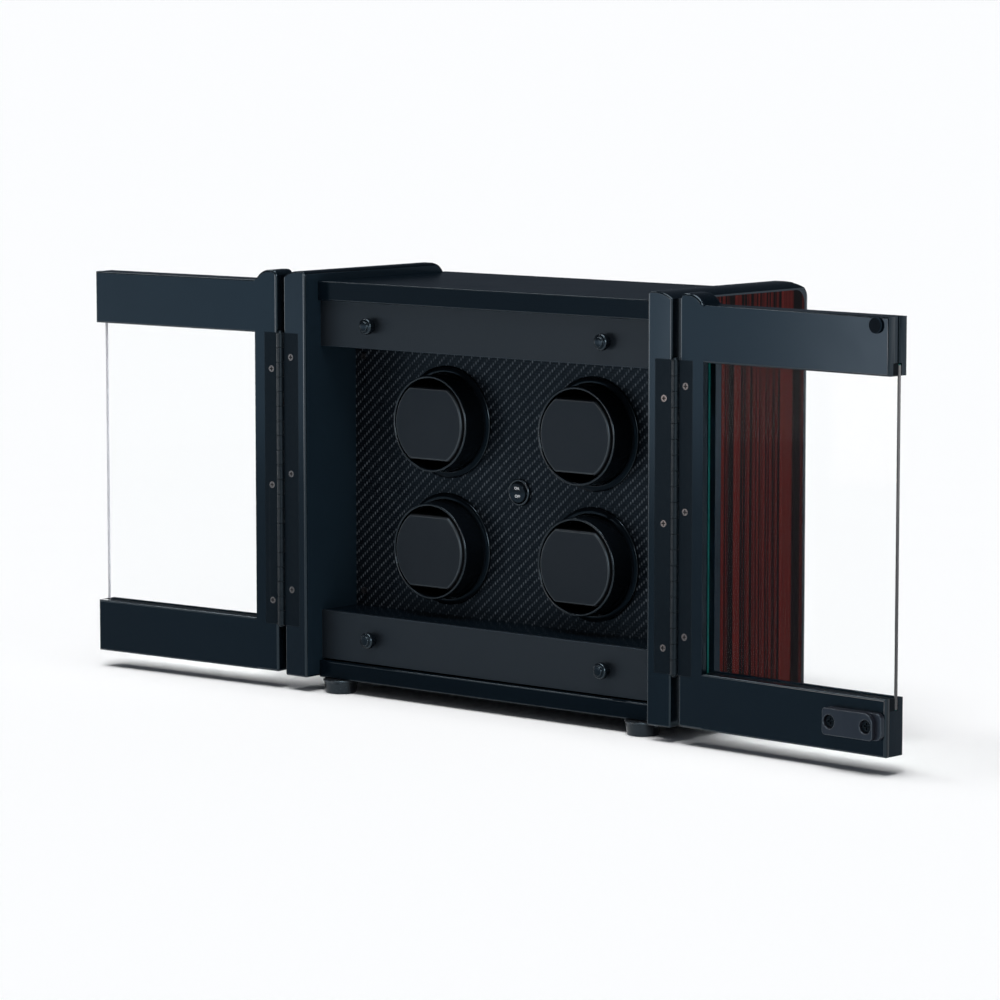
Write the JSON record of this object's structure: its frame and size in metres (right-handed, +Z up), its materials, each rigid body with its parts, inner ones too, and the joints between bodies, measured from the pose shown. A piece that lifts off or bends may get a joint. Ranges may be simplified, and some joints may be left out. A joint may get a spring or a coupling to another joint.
{
  "type": "watch winder cabinet",
  "caption": "Black cabinet with striped side veneers and a pair of glass doors on piano hinges; motor-driven turning heads with pull-out holders keep watches wound.",
  "frame": {"origin": "on the floor under the middle of the whole part's box with the doors open", "axes": "+Z up; the doors' side faces -Y; +X is to the right for someone in front of it"},
  "size_m": [0.8698, 0.207, 0.367],
  "materials": {
    "lacquer": "black lacquer, gloss",
    "veneer": "dark striped veneer, high gloss",
    "fascia": "satin black",
    "woven_panel": "woven, gloss",
    "head_plastic": "satin black",
    "holder_plastic": "matte black",
    "black_plastic": "satin black",
    "foot_plastic": "dark satin",
    "hinge_black": "black oxide",
    "screw_steel": "plain",
    "chassis_zinc": "zinc plated",
    "circuit_board": "green resist",
    "pine": "bare",
    "clear_glass": "clear, green edge",
    "black_rubber": "matte"
  },
  "bodies": {
    "cabinet": {"left_side_panel": "lacquer", "right_side_panel": "lacquer", "left_side_veneer": "veneer", "right_side_veneer": "veneer", "top_panel": "lacquer", "bottom_panel": "lacquer", "back_panel": "lacquer", "back_panel_screws": "screw_steel", "upper_fascia": "fascia", "lower_fascia": "fascia", "fascia_thumbscrews": "black_plastic", "upper_ledge": "lacquer", "lower_ledge": "lacquer", "winder_panel": "woven_panel", "panel_cleats": "pine", "winder_panel_screws": "screw_steel", "bezel_rings": "head_plastic", "chassis_plate": "chassis_zinc", "chassis_standoffs": "screw_steel", "gearmotors": "chassis_zinc", "control_board": "circuit_board", "power_inlet": "black_plastic", "switch_body": "black_plastic", "feet": "foot_plastic", "foot_screws": "screw_steel", "cabinet_hinge_screws": "screw_steel", "left_hinge_cabinet_leaf": "hinge_black", "right_hinge_cabinet_leaf": "hinge_black", "left_hinge_pin": "hinge_black", "right_hinge_pin": "hinge_black"},
    "left_door": {"left_door_stile": "lacquer", "left_door_top_rail": "lacquer", "left_door_bottom_rail": "lacquer", "left_door_glass": "clear_glass", "left_glazing_strips": "black_rubber", "left_hinge_door_leaf": "hinge_black", "left_door_hinge_screws": "screw_steel"},
    "right_door": {"right_door_stile": "lacquer", "right_door_top_rail": "lacquer", "right_door_bottom_rail": "lacquer", "right_door_glass": "clear_glass", "right_glazing_strips": "black_rubber", "right_hinge_door_leaf": "hinge_black", "right_door_hinge_screws": "screw_steel", "catch_block": "black_plastic", "catch_screws": "hinge_black", "door_bumper": "black_rubber"},
    "switch_rocker": {"switch_rocker": "black_plastic"},
    "turntable_1": {"cup_1": "head_plastic", "spindle_1": "screw_steel"},
    "holder_1": {"holder_1": "holder_plastic"},
    "turntable_2": {"cup_2": "head_plastic", "spindle_2": "screw_steel"},
    "holder_2": {"holder_2": "holder_plastic"},
    "turntable_3": {"cup_3": "head_plastic", "spindle_3": "screw_steel"},
    "holder_3": {"holder_3": "holder_plastic"},
    "turntable_4": {"cup_4": "head_plastic", "spindle_4": "screw_steel"},
    "holder_4": {"holder_4": "holder_plastic"}
  },
  "joints": [
    {"name": "left_door_swing", "type": "hinge", "parent": "cabinet", "child": "left_door", "pos_m": [-0.2175, -0.0838, 0.185], "axis": [0, 0, 1], "range_deg": [-3, 177]},
    {"name": "right_door_swing", "type": "hinge", "parent": "cabinet", "child": "right_door", "pos_m": [0.2175, -0.0838, 0.185], "axis": [0, 0, 1], "range_deg": [-177, 3]},
    {"name": "switch_tilt", "type": "hinge", "parent": "cabinet", "child": "switch_rocker", "pos_m": [0, -0.0199, 0.184], "axis": [1, 0, 0], "range_deg": [-14, 0]},
    {"name": "head_1_turn", "type": "hinge", "parent": "cabinet", "child": "turntable_1", "pos_m": [-0.081, -0.0035, 0.239], "axis": [0, 1, 0], "continuous": true},
    {"name": "holder_1_pull", "type": "slide", "parent": "turntable_1", "child": "holder_1", "axis": [0, -1, 0], "range_m": [0, 0.036]},
    {"name": "head_2_turn", "type": "hinge", "parent": "cabinet", "child": "turntable_2", "pos_m": [0.081, -0.0035, 0.239], "axis": [0, 1, 0], "continuous": true},
    {"name": "holder_2_pull", "type": "slide", "parent": "turntable_2", "child": "holder_2", "axis": [0, -1, 0], "range_m": [0, 0.036]},
    {"name": "head_3_turn", "type": "hinge", "parent": "cabinet", "child": "turntable_3", "pos_m": [-0.081, -0.0035, 0.129], "axis": [0, 1, 0], "continuous": true},
    {"name": "holder_3_pull", "type": "slide", "parent": "turntable_3", "child": "holder_3", "axis": [0, -1, 0], "range_m": [0, 0.036]},
    {"name": "head_4_turn", "type": "hinge", "parent": "cabinet", "child": "turntable_4", "pos_m": [0.081, -0.0035, 0.129], "axis": [0, 1, 0], "continuous": true},
    {"name": "holder_4_pull", "type": "slide", "parent": "turntable_4", "child": "holder_4", "axis": [0, -1, 0], "range_m": [0, 0.036]}
  ]
}
